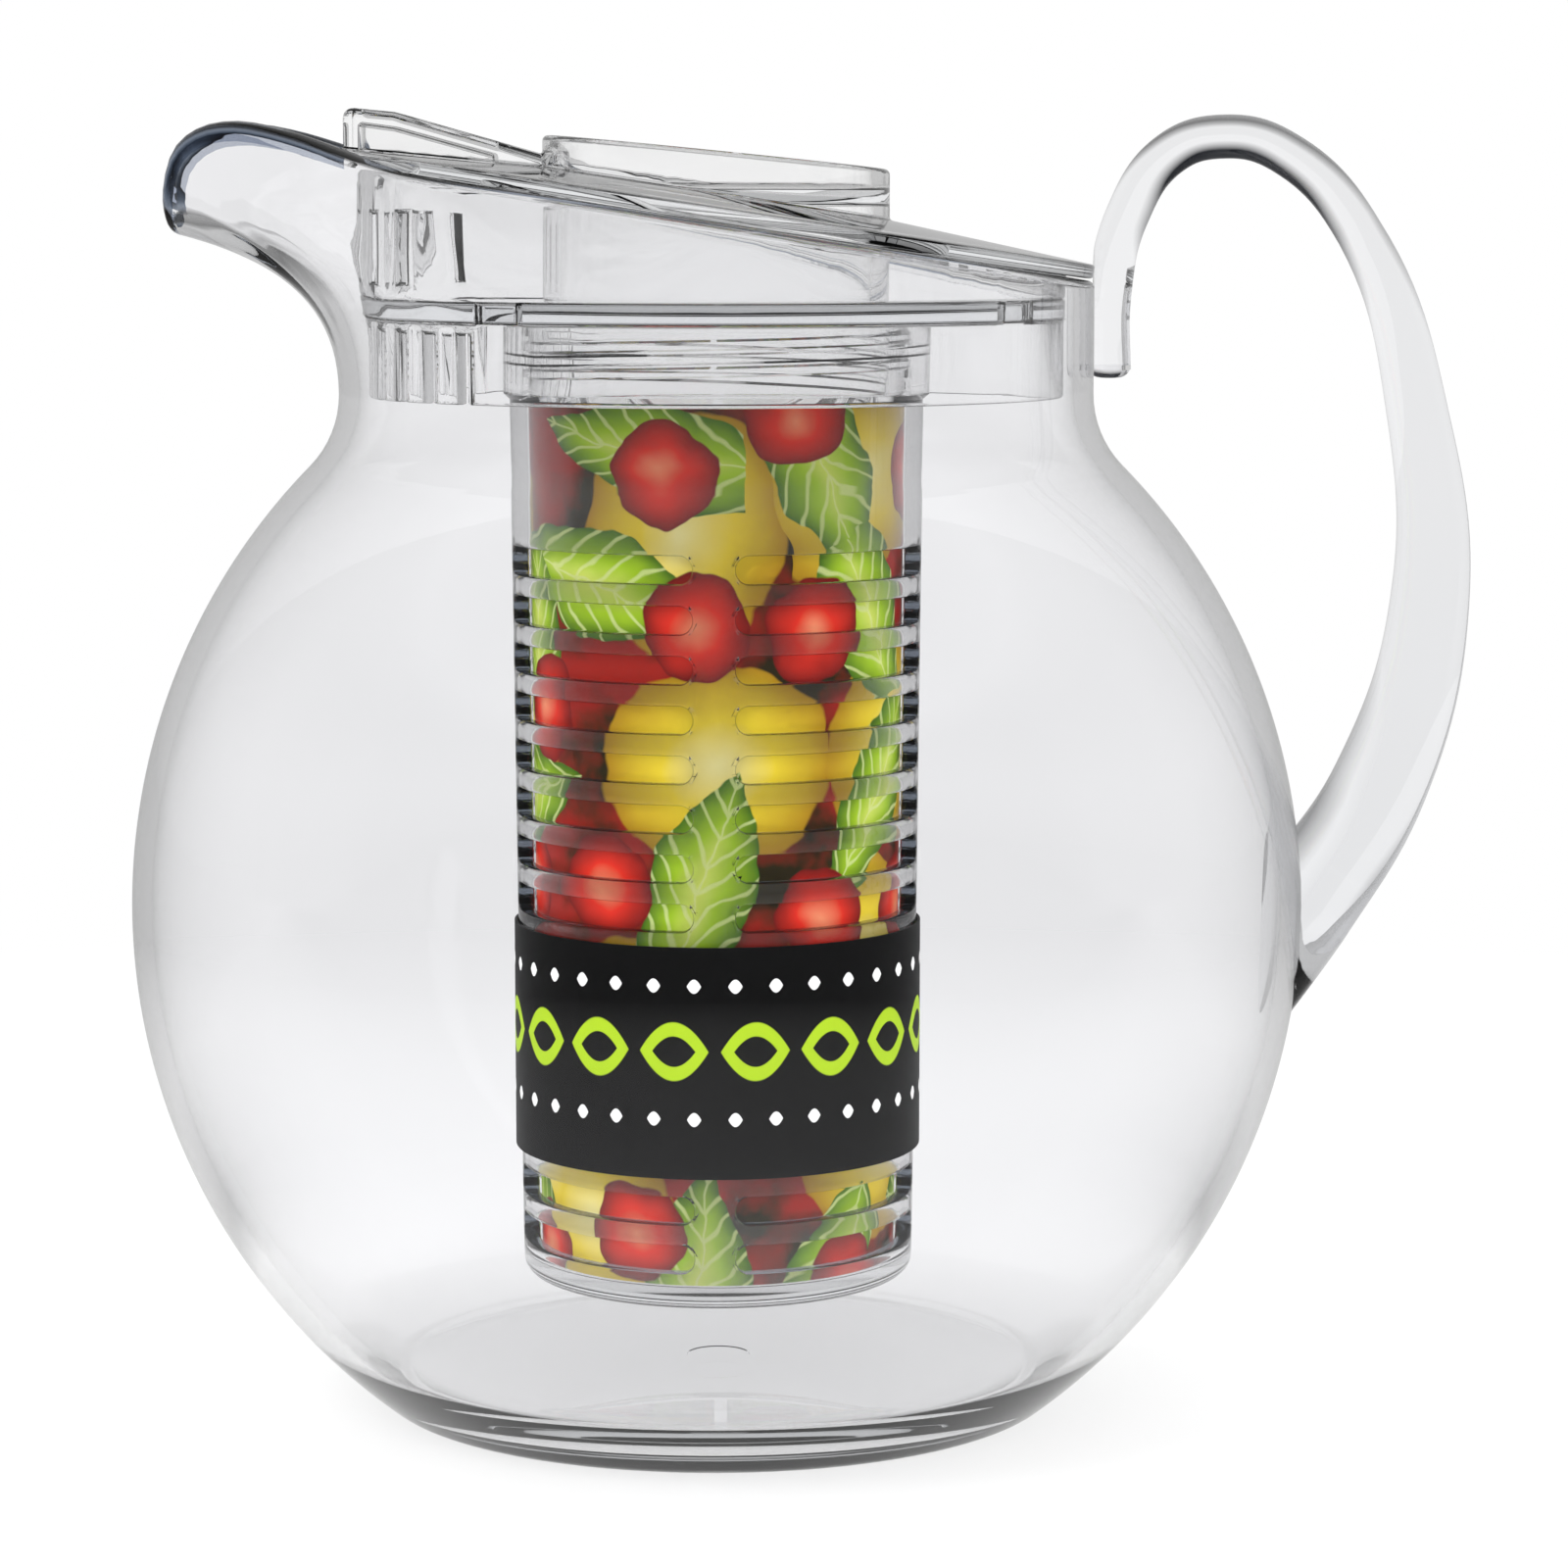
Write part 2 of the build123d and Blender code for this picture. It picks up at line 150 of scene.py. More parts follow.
def clear_acrylic(name, tint, density):
    """Moulded acrylic, polished: clear right through, with sharp reflections at the edges.

    The wall takes up a little light, so that thick places and long ways through it turn cool grey.
    """
    material = bpy.data.materials.new(name)
    material.use_nodes = True
    shader = material.node_tree.nodes["Principled BSDF"]
    shader.inputs["Base Color"].default_value = hex_colour(tint)
    shader.inputs["Transmission Weight"].default_value = 1.0
    shader.inputs["Roughness"].default_value = 0.0
    shader.inputs["IOR"].default_value = 1.49
    depth = add_node(
        material.node_tree,
        "ShaderNodeVolumeAbsorption",
        None,
        {"Color": hex_colour(WALL_SHADE), "Density": density},
    )
    material.node_tree.links.new(
        depth.outputs[0],
        material.node_tree.nodes["Material Output"].inputs["Volume"],
    )
    return material


def along(stations, place):
    """A smooth line through stations, whose first value is the place along it."""
    last = len(stations) - 1
    at = max(i for i in range(last) if i == 0 or stations[i][0] <= place)
    a, b = stations[at], stations[at + 1]
    before, after = stations[max(at - 1, 0)], stations[min(at + 2, last)]
    span = b[0] - a[0]
    t = min(max((place - a[0]) / span, 0), 1)
    values = []
    for i in range(1, len(a)):
        rise_a = (b[i] - before[i]) / (b[0] - before[0]) * span
        rise_b = (after[i] - a[i]) / (after[0] - a[0]) * span
        values.append(
            a[i] * (2 * t**3 - 3 * t**2 + 1)
            + rise_a * (t**3 - 2 * t**2 + t)
            + b[i] * (3 * t**2 - 2 * t**3)
            + rise_b * (t**3 - t**2)
        )
    return values


belly_x = BELLY_RADIUS - BELLY_ARC
foot_x = belly_x + math.sqrt((BELLY_ARC - BASE_EDGE) ** 2 - (BELLY_Z - BASE_EDGE) ** 2)
foot_turn = math.degrees(math.atan2(BASE_EDGE - BELLY_Z, foot_x - belly_x))
waist_x = NECK_RADIUS + NECK_BLEND
waist_z = BELLY_Z + math.sqrt((BELLY_ARC + NECK_BLEND) ** 2 - (waist_x - belly_x) ** 2)
waist_turn = math.degrees(math.atan2(waist_z - BELLY_Z, waist_x - belly_x))
jug_outline = [(0, 0), (4.9, 0), (5.0, 0), (15, 0), (30, 0), (36, 0), (40, 0), (44, 0)]
jug_outline += arc(foot_x, BASE_EDGE, BASE_EDGE, -90, foot_turn, 14)
jug_outline += arc(belly_x, BELLY_Z, BELLY_ARC, foot_turn, waist_turn, 88)[1:]
jug_outline += arc(waist_x, waist_z, NECK_BLEND, waist_turn + 180, 180, 8)[1:]
neck_rise = RIM_Z - waist_z
jug_outline += [(NECK_RADIUS, waist_z + neck_rise * i / NECK_ROWS) for i in range(1, NECK_ROWS + 1)]
jug = spin_outline("jug_body_clear", jug_outline)

# Each station of the lip: angle round the neck at its root, then angle, radius and lift of the rim,
# its lean towards the tip, and how far the wall draws in below it.
lip_stations = (
    (-7.0, -3.4, 85.3, -13.0, 70.0, 1.5),
    (0.0, 0.0, 84.6, -14.6, 76.0, 0.0),
    (7.0, 3.4, 85.3, -13.0, 70.0, 1.5),
    (13.0, 5.8, 85.4, -8.5, 50.0, 4.0),
    (18.0, 7.5, 83.7, -2.2, 30.0, 5.5),
    (23.0, 9.2, 80.0, 1.6, 20.0, 6.5),
    (28.0, 11.2, 74.9, 3.3, 14.0, 7.0),
    (33.0, 14.4, 69.2, 3.2, 10.0, 6.5),
    (39.0, 19.8, 63.8, 2.2, 6.0, 5.0),
    (47.0, 30.5, 59.6, 0.8, 2.0, 2.0),
    (57.0, 45.0, 58.6, 0.0, 0.0, 0.0),
    (72.0, 68.0, 58.6, 0.0, 0.0, 0.0),
    (88.0, 88.0, 58.6, 0.0, 0.0, 0.0),
    (180.0, 180.0, 58.6, 0.0, 0.0, 0.0),
)
lip_shade_points = set()
for vertex in jug.data.vertices:
    x, y, z = vertex.co / MM
    if z > waist_z + 0.01:
        side = -1 if y < 0 else 1
        root = 180 - math.degrees(abs(math.atan2(y, x)))
        turn, radius, lift, lean, draw = along(lip_stations, root)
        if root > LIP_END:
            turn, radius, lift, lean, draw = root, NECK_RADIUS, 0, 0, 0
        rim_x = -radius * math.cos(math.radians(turn))
        rim = Vector((rim_x, side * radius * math.sin(math.radians(turn)), rim_height(rim_x) + lift))
        low = Vector((x, y, waist_z))
        t = (z - waist_z) / neck_rise
        # The top band of the lip is marked here for the painted slate shade.
        if t > LIP_SHADE_BAND and root < LIP_SHADE_TURN:
            lip_shade_points.add(vertex.index)
        pull = LIP_PULL * (rim - low).length
        low_handle = low + Vector((0, 0, pull))
        lean = math.radians(lean)
        down = pull * Vector((-math.sin(lean), 0, math.cos(lean)))
        rim_handle = rim - down - Vector((0, side * draw, 0))
        point = low * (1 - t) ** 3 + low_handle * (3 * t * (1 - t) ** 2)
        vertex.co = (point + rim_handle * (3 * t**2 * (1 - t)) + rim * t**3) * MM

# The rim and the lip's edge are tinted slate grey, a painted shade for the dark that light running along
# inside the wall shows there.
# Six slots keep outside, inside and rim apart, for the wall and then for the lip, until the rim is round.
jug_acrylic = clear_acrylic("acrylic_jug_clear", JUG_TINT, WALL_DENSITY)
for count in range(6):
    jug.data.materials.append(jug_acrylic)
for face in jug.data.polygons:
    if lip_shade_points.issuperset(face.vertices):
        face.material_index = 3
finish_with(
    jug,
    "SOLIDIFY",
    thickness=JUG_WALL * MM,
    offset=-1,
    use_even_offset=True,
    use_quality_normals=True,
    material_offset=1,
    material_offset_rim=2,
)
inside = {v for face in jug.data.polygons if face.material_index in (1, 4) for v in face.vertices}
for index in inside:
    spot = jug.data.vertices[index].co
    reach = math.hypot(spot.x, spot.y) / MM
    if spot.z < BASE_SIDE_Z * MM:
        fade = min(max((BASE_FLAT[1] - reach) / (BASE_FLAT[1] - BASE_FLAT[0]), 0), 1)
        spot.z += BASE_EXTRA * MM * fade * fade * (3 - 2 * fade)
        if reach < GATE_RADIUS:
            spot.z = (JUG_WALL + BASE_EXTRA - GATE_DEPTH) * MM
rim_faces = [face for face in jug.data.polygons if face.material_index in (2, 5)]
wall_faces = [face for face in jug.data.polygons if face.material_index in (0, 1, 3, 4)]
wall_keys = {key for face in wall_faces for key in face.edge_keys}
rim_keys = {key for face in rim_faces for key in face.edge_keys} & wall_keys
choose(jug, "EDGE", [edge.index for edge in jug.data.edges if edge.key in rim_keys])
bpy.ops.mesh.bevel(offset=RIM_ROUND * MM, segments=4, affect="EDGES")
bpy.ops.object.mode_set(mode="OBJECT")
# Rim and lip faces take the second material, whose slate tint is painted shade.
for face in jug.data.polygons:
    face.material_index = 1 if face.material_index in (2, 3, 5) else 0
for count in range(4):
    jug.data.materials.pop()
jug.data.materials[1] = clear_acrylic("acrylic_rim_painted_shade", RIM_PAINTED_SHADE, WALL_DENSITY)
bpy.ops.object.shade_smooth_by_angle(angle=math.radians(25))
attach(jug, "jug")
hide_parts("jug_body")

# Handle. A solid rod of clear acrylic, bent hot over a former and bonded to the neck and the belly.
# It is a bent line with a round section that grows towards its root, flattened where it meets the jug.
HANDLE_THIN = 6.8
HANDLE_THICK = 17.0
HANDLE_WIDTH = 1.2
HANDLE_SINK = 0.9
HANDLE_REACH = 53.0
HANDLE_RISE = 13.1
HANDLE_END = 24.1
HANDLE_END_ROUND = 2.0
HANDLE_GAP = 0.06
ROUND_ANGLE = math.radians(40)
HANDLE_TINT = "#fbfbfc"
HANDLE_DENSITY = 8.0
leg_x = NECK_RADIUS + HANDLE_THIN / 2 - HANDLE_SINK
leg_z = RIM_Z - HANDLE_END
grip_x = NECK_RADIUS + HANDLE_REACH
crown_z = RIM_Z + HANDLE_RISE

# Each station of the bent line, from the free end to the root: its place in X and Z, and its thickness.
handle_stations = (
    (leg_x, leg_z, HANDLE_THIN),
    (leg_x, leg_z + 0.109 * (crown_z - BELLY_Z), HANDLE_THIN),
    (leg_x + 2.6, crown_z - 12.2, HANDLE_THIN),
    (leg_x + 9.2, crown_z - 2.6, HANDLE_THIN),
    (leg_x + 17.5, crown_z, HANDLE_THIN),
    (leg_x + 26.5, crown_z - 2.2, HANDLE_THIN),
    (grip_x - 11.8, crown_z - 14.8, 7.2),
    (grip_x - 2.2, crown_z - 43.6, 9.6),
    (grip_x, crown_z - 72.0, 12.3),
    (grip_x - 7.4, crown_z - 100.8, 15.0),
    (BELLY_RADIUS, BELLY_Z - 1.5, HANDLE_THICK),
    (BELLY_RADIUS - 16.0, BELLY_Z - 23.5, HANDLE_THICK),
)
bpy.ops.object.select_all(action="DESELECT")
bpy.ops.curve.primitive_bezier_curve_add(location=(0, 0, 0))
handle = bpy.context.object
handle.name = handle.data.name = "handle_clear"
line = handle.data
line.dimensions = "3D"
line.twist_mode = "MINIMUM"
line.splines[0].bezier_points.add(len(handle_stations) - 2)
for point, (x, z, thickness) in zip(line.splines[0].bezier_points, handle_stations):
    point.co = (x * MM, 0, z * MM)
    point.radius = thickness / 2
    point.handle_left_type = point.handle_right_type = "AUTO"
line.resolution_u = 12
line.bevel_depth = MM
line.bevel_resolution = 14
line.use_fill_caps = True
bpy.ops.object.convert(target="MESH")
handle = bpy.context.object
bpy.ops.object.mode_set(mode="EDIT")
bpy.ops.mesh.select_all(action="SELECT")
bpy.ops.mesh.remove_doubles(threshold=0.002 * MM)
bpy.ops.mesh.normals_make_consistent(inside=False)
bpy.ops.object.mode_set(mode="OBJECT")
handle.scale = (1, HANDLE_WIDTH, 1)
bpy.ops.object.transform_apply(location=True, rotation=True, scale=True)
end_faces = [
    face.index
    for face in handle.data.polygons
    if face.normal.z < -0.95
    and face.center.x < (leg_x + HANDLE_THIN) * MM
    and face.center.z < (leg_z + 0.1) * MM
]
choose(handle, "FACE", end_faces)
bpy.ops.mesh.dissolve_faces()
bpy.ops.mesh.bevel(offset=HANDLE_END_ROUND * MM, segments=6, affect="EDGES")
bpy.ops.object.mode_set(mode="OBJECT")
jug_stock = spin_outline(
    "jug_stock",
    [(0, 0)]
    + arc(foot_x, BASE_EDGE, BASE_EDGE + HANDLE_GAP, -90, foot_turn, 6)
    + arc(belly_x, BELLY_Z, BELLY_ARC + HANDLE_GAP, foot_turn, waist_turn, 44)[1:]
    + arc(waist_x, waist_z, NECK_BLEND - HANDLE_GAP, waist_turn + 180, 180, 8)[1:]
    + [(NECK_RADIUS + HANDLE_GAP, RIM_Z + 20), (0, RIM_Z + 20)],
)
finish_with(handle, "BOOLEAN", operation="DIFFERENCE", solver="EXACT", object=jug_stock)
bpy.data.objects.remove(jug_stock)
bpy.ops.object.shade_smooth_by_angle(angle=ROUND_ANGLE)
handle.data.materials.clear()
handle.data.materials.append(clear_acrylic("acrylic_handle_clear", HANDLE_TINT, HANDLE_DENSITY))
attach(handle, "jug")
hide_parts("handle")

# Lid cover and lid base. Clear acrylic mouldings with thin walls: a flange with a plug wall, grip collar
# and thumb hood, and under it a disc with a skirt, a comb and a threaded boss.
# Their solids are copied, closed up, given soft edges and shaded smooth over the round faces.
LID_TINT = "#fefefe"
LID_EDGE = 0.45
EDGE_ANGLE = math.radians(70)
lid_acrylic = clear_acrylic("acrylic_lid_clear", LID_TINT, WALL_DENSITY)
for node in ("lid_cover", "lid_base"):
    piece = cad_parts[node].copy()
    piece.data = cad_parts[node].data.copy()
    piece.name = piece.data.name = node + "_clear"
    piece.parent = None
    for key in list(piece.keys()):
        del piece[key]
    bpy.context.scene.collection.objects.link(piece)
    choose(piece, "VERT", range(len(piece.data.vertices)))
    bpy.ops.mesh.remove_doubles(threshold=0.002 * MM)
    bpy.ops.mesh.tris_convert_to_quads(face_threshold=math.radians(2), shape_threshold=math.pi)
    bpy.ops.mesh.customdata_custom_splitnormals_clear()
    bpy.ops.object.mode_set(mode="OBJECT")
    finish_with(
        piece,
        "BEVEL",
        width=LID_EDGE * MM,
        segments=2,
        limit_method="ANGLE",
        angle_limit=EDGE_ANGLE,
        use_clamp_overlap=False,
        loop_slide=False,
    )
    bpy.ops.object.shade_smooth_by_angle(angle=ROUND_ANGLE)
    finish_with(piece, "WEIGHTED_NORMAL", keep_sharp=True)
    piece.data.materials.clear()
    piece.data.materials.append(lid_acrylic)
    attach(piece, "lid")
    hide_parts(node)

# Infuser tube. A drafted tube of clear acrylic with a closed floor, rows of round-ended slots
# and a threaded head. It is spun from its section, the slots are cut out of the wall,
# the thread is wound into the head, and the sharp edges are softened.
TUBE_LOW = 20.4
TUBE_FOOT = 30.8
TUBE_TOP = 32.2
TUBE_WALL = 2.6
TUBE_FLOOR = 3.2
TUBE_FOOT_ROUND = 2.4
TUBE_EDGE = 0.55
HEAD_LOW = 158.8
HEAD_HIGH = 170.5
HEAD_RADIUS = 33.2
HEAD_BORE = 30.5
HEAD_SHOULDER = 0.8
TUBE_STEPS = 160
THREAD_PITCH = 4.0
THREAD_TURNS = 1.5
THREAD_LOW = 162.5
THREAD_DEPTH = 0.9
THREAD_SINK = 0.3
THREAD_ROOT_HALF = 0.95
THREAD_CREST_HALF = 0.5
SLOT_ROWS = 15
SLOT_STEP = 7.5
SLOT_LOW = 28.3
SLOT_ROUND = 2.1
SLOT_HALF_TURN = 39.05
# The slot tint is painted shade for the dark cut walls of the slots.
SLOT_PAINTED_SHADE = "#6f7680"
SLOT_END_CUTS = 10
SLOT_MIDDLE_CUTS = 24
draft = (TUBE_TOP - TUBE_FOOT) / (HEAD_LOW - TUBE_LOW)
bar_heights = [SLOT_LOW + (row - 0.5) * SLOT_STEP for row in range(SLOT_ROWS + 1)]
tube_bars = [(TUBE_FOOT + draft * (z - TUBE_LOW), z) for z in bar_heights]
tube = spin_outline(
    "infuser_tube_clear",
    [(0, TUBE_LOW)]
    + arc(TUBE_FOOT - TUBE_FOOT_ROUND, TUBE_LOW + TUBE_FOOT_ROUND, TUBE_FOOT_ROUND, -90, 0, 8)
    + tube_bars
    + [
        (TUBE_TOP, HEAD_LOW),
        (HEAD_RADIUS, HEAD_LOW + HEAD_SHOULDER),
        (HEAD_RADIUS, HEAD_HIGH),
        (HEAD_BORE, HEAD_HIGH),
        (HEAD_BORE, HEAD_LOW),
        (TUBE_TOP - TUBE_WALL, HEAD_LOW),
    ]
    + [(x - TUBE_WALL, z) for x, z in reversed(tube_bars)]
    + [(TUBE_FOOT + draft * TUBE_FLOOR - TUBE_WALL, TUBE_LOW + TUBE_FLOOR), (0, TUBE_LOW + TUBE_FLOOR)],
    TUBE_STEPS,
)

# The slots' cut walls are tinted slate, a painted shade for the dark that these narrow walls gather from
# the far side.
infuser_acrylic = clear_acrylic("acrylic_infuser_clear", LID_TINT, WALL_DENSITY)
slot_shade_acrylic = clear_acrylic("acrylic_slot_painted_shade", SLOT_PAINTED_SHADE, WALL_DENSITY)

# One slot is a flat strip, narrowed to a half circle at both ends, laid round the tube and thickened.
bpy.ops.object.select_all(action="DESELECT")
slot_cuts = 2 * SLOT_END_CUTS + SLOT_MIDDLE_CUTS
bpy.ops.mesh.primitive_grid_add(x_subdivisions=slot_cuts, y_subdivisions=1, size=2)
cutter = bpy.context.object
cutter.name = cutter.data.name = "slot_cutter"
slot_straight = TUBE_TOP * math.radians(SLOT_HALF_TURN) - SLOT_ROUND
for vertex in cutter.data.vertices:
    cut = round((vertex.co.x + 1) / 2 * slot_cuts)
    from_end = min(cut, slot_cuts - cut)
    side = -1 if cut < slot_cuts / 2 else 1
    if from_end <= SLOT_END_CUTS:
        end_turn = math.radians(90 * from_end / SLOT_END_CUTS)
        across = side * (slot_straight + SLOT_ROUND * math.cos(end_turn))
        half = SLOT_ROUND * math.sin(end_turn)
    else:
        across = slot_straight * (2 * (cut - SLOT_END_CUTS) / SLOT_MIDDLE_CUTS - 1)
        half = SLOT_ROUND
    turn = math.radians(45) + across / TUBE_TOP
    up = SLOT_LOW + (half if vertex.co.y > 0 else -half)
    vertex.co = Vector((TUBE_TOP * math.cos(turn), TUBE_TOP * math.sin(turn), up)) * MM
choose(cutter, "VERT", range(len(cutter.data.vertices)))
bpy.ops.mesh.remove_doubles(threshold=0.002 * MM)
bpy.ops.object.mode_set(mode="OBJECT")
finish_with(cutter, "SOLIDIFY", thickness=4 * TUBE_WALL * MM, offset=0)
for piece in (tube, cutter):
    piece.data.materials.append(infuser_acrylic)
    piece.data.materials.append(slot_shade_acrylic)
# The cutter's faces become the slots' cut walls, which carry the painted slate shade.
for face in cutter.data.polygons:
    face.material_index = 1
finish_with(
    cutter,
    "ARRAY",
    count=SLOT_ROWS,
    use_relative_offset=False,
    use_constant_offset=True,
    constant_offset_displace=(0, 0, SLOT_STEP * MM),
)
choose(cutter, "VERT", range(len(cutter.data.vertices)))
bpy.ops.mesh.spin(steps=3, dupli=True, angle=math.radians(270), center=(0, 0, 0), axis=(0, 0, 1))
bpy.ops.mesh.select_all(action="SELECT")
bpy.ops.mesh.normals_make_consistent(inside=False)
bpy.ops.object.mode_set(mode="OBJECT")
finish_with(tube, "BOOLEAN", operation="DIFFERENCE", solver="EXACT", object=cutter)
bpy.data.objects.remove(cutter)

# The thread is a ridge with a sloped-sided section, wound up along the bore of the head.
bpy.ops.object.select_all(action="DESELECT")
bpy.ops.mesh.primitive_plane_add(size=MM)
thread = bpy.context.object
thread.name = thread.data.name = "thread_ridge"
for vertex in thread.data.vertices:
    root = vertex.co.x > 0
    half = THREAD_ROOT_HALF if root else THREAD_CREST_HALF
    x = HEAD_BORE + THREAD_SINK if root else HEAD_BORE - THREAD_DEPTH
    vertex.co = Vector((x, 0, THREAD_LOW + (half if vertex.co.y > 0 else -half))) * MM
choose(thread, "FACE", [])
bpy.ops.mesh.select_all(action="SELECT")
bpy.ops.mesh.delete(type="ONLY_FACE")
bpy.ops.object.mode_set(mode="OBJECT")
finish_with(
    thread,
    "SCREW",
    axis="Z",
    angle=2 * math.pi * THREAD_TURNS,
    screw_offset=THREAD_PITCH * THREAD_TURNS * MM,
    steps=192,
)
choose(thread, "EDGE", [])
bpy.ops.mesh.select_non_manifold()
bpy.ops.mesh.fill()
bpy.ops.mesh.select_all(action="SELECT")
bpy.ops.mesh.normals_make_consistent(inside=False)
bpy.ops.object.mode_set(mode="OBJECT")
finish_with(tube, "BOOLEAN", operation="UNION", solver="EXACT", object=thread)
bpy.data.objects.remove(thread)
choose(tube, "VERT", range(len(tube.data.vertices)))
bpy.ops.mesh.remove_doubles(threshold=0.2 * MM)
bpy.ops.object.mode_set(mode="OBJECT")
finish_with(
    tube,
    "BEVEL",
    width=TUBE_EDGE * MM,
    segments=2,
    limit_method="ANGLE",
    angle_limit=EDGE_ANGLE,
    use_clamp_overlap=False,
)
bpy.ops.object.shade_smooth_by_angle(angle=ROUND_ANGLE)
finish_with(tube, "WEIGHTED_NORMAL", keep_sharp=True)
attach(tube, "infuser")
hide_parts("infuser_tube")

# Fruit card. A sheet of printed card, rolled to the tube's bore, its seam at the back, and slipped in.
# It is spun from its side line, opened at the seam and thickened inwards, and its print of plums, leaves
# and cherries is laid out flat in millimetres.
CARD_FOOT = (27.92, 23.9)
CARD_HEAD = (29.3, 158.5)
CARD_THICKNESS = 0.5
CARD_ROWS = 24
CARD_SEAM_HALF = 1.1
CARD_ROUND = 2 * math.pi * CARD_HEAD[0]
CARD_HEIGHT = CARD_HEAD[1] - CARD_FOOT[1]


def wrap_map(piece, low_z, height):
    """Lays a flat map round a tube: across from the seam at the back, and up from its lower edge."""
    layer = piece.data.uv_layers.new(name="print")
    for face in piece.data.polygons:
        middle = math.atan2(-face.center.x, face.center.y) % (2 * math.pi)
        for loop in face.loop_indices:
            spot = piece.data.vertices[piece.data.loops[loop].vertex_index].co
            turn = math.atan2(-spot.x, spot.y) % (2 * math.pi)
            if turn - middle > math.pi:
                turn -= 2 * math.pi
            elif middle - turn > math.pi:
                turn += 2 * math.pi
            layer.data[loop].uv = (turn / (2 * math.pi), (spot.z / MM - low_z) / height)


card_flare = CARD_HEAD[0] - CARD_FOOT[0]
card_outline = [
    (CARD_FOOT[0] + card_flare * i / CARD_ROWS, CARD_FOOT[1] + CARD_HEIGHT * i / CARD_ROWS)
    for i in range(CARD_ROWS + 1)
]
card = spin_outline("fruit_card_print", card_outline, TUBE_STEPS)
back_faces = [face for face in card.data.polygons if face.center.y > 0]
seam = [face.index for face in back_faces if abs(face.center.x) < CARD_SEAM_HALF * MM]
choose(card, "FACE", seam)
bpy.ops.mesh.delete(type="FACE")
bpy.ops.object.mode_set(mode="OBJECT")
finish_with(card, "SOLIDIFY", thickness=CARD_THICKNESS * MM, offset=-1, use_even_offset=True)
wrap_map(card, CARD_FOOT[1], CARD_HEIGHT)
bpy.ops.object.shade_smooth_by_angle(angle=ROUND_ANGLE)

# Coated card, offset printed: flat bright inks under a thin satin varnish, on a mottled ground.
# Motifs bend by a noise with waves of about 9 mm, and the ground's clouds are about 17 mm wide.
WOBBLE_PER_MM = 0.11
WOBBLE_REACH = (5, 5, 0)
MOTTLE_PER_MM = 0.06
GROUND_INKS = ((0.42, "#2e2606"), (0.58, "#a81c0e"))
VEIN_INK = "#e4efa0"
VEIN_SPACING = 0.11
card_ink = bpy.data.materials.new("card_printed_satin")
card_ink.use_nodes = True
tree = card_ink.node_tree
shader = tree.nodes["Principled BSDF"]
shader.inputs["Roughness"].default_value = 0.38
shader.inputs["Specular IOR Level"].default_value = 0.15
place = add_node(tree, "ShaderNodeUVMap", {"uv_map": "print"})
flat = add_node(
    tree,
    "ShaderNodeVectorMath",
    {"operation": "MULTIPLY"},
    {0: place.outputs[0], 1: (CARD_ROUND, CARD_HEIGHT, 0)},
)
wobble = add_node(
    tree,
    "ShaderNodeTexNoise",
    None,
    {"Vector": flat.outputs[0], "Scale": WOBBLE_PER_MM, "Detail": 2.0},
)
spread = add_node(
    tree,
    "ShaderNodeVectorMath",
    {"operation": "SUBTRACT"},
    {0: wobble.outputs["Color"], 1: (0.5, 0.5, 0.5)},
)
bend = add_node(
    tree,
    "ShaderNodeVectorMath",
    {"operation": "MULTIPLY_ADD"},
    {0: spread.outputs[0], 1: WOBBLE_REACH, 2: flat.outputs[0]},
)
mottle = add_node(
    tree,
    "ShaderNodeTexNoise",
    None,
    {"Vector": flat.outputs[0], "Scale": MOTTLE_PER_MM, "Detail": 4.0},
)
ground = add_node(tree, "ShaderNodeValToRGB", None, {"Fac": mottle.outputs["Fac"]})
for stop, (position, ink) in zip(ground.color_ramp.elements, GROUND_INKS):
    stop.position = position
    stop.color = hex_colour(ink)
print_colour = ground.outputs["Color"]

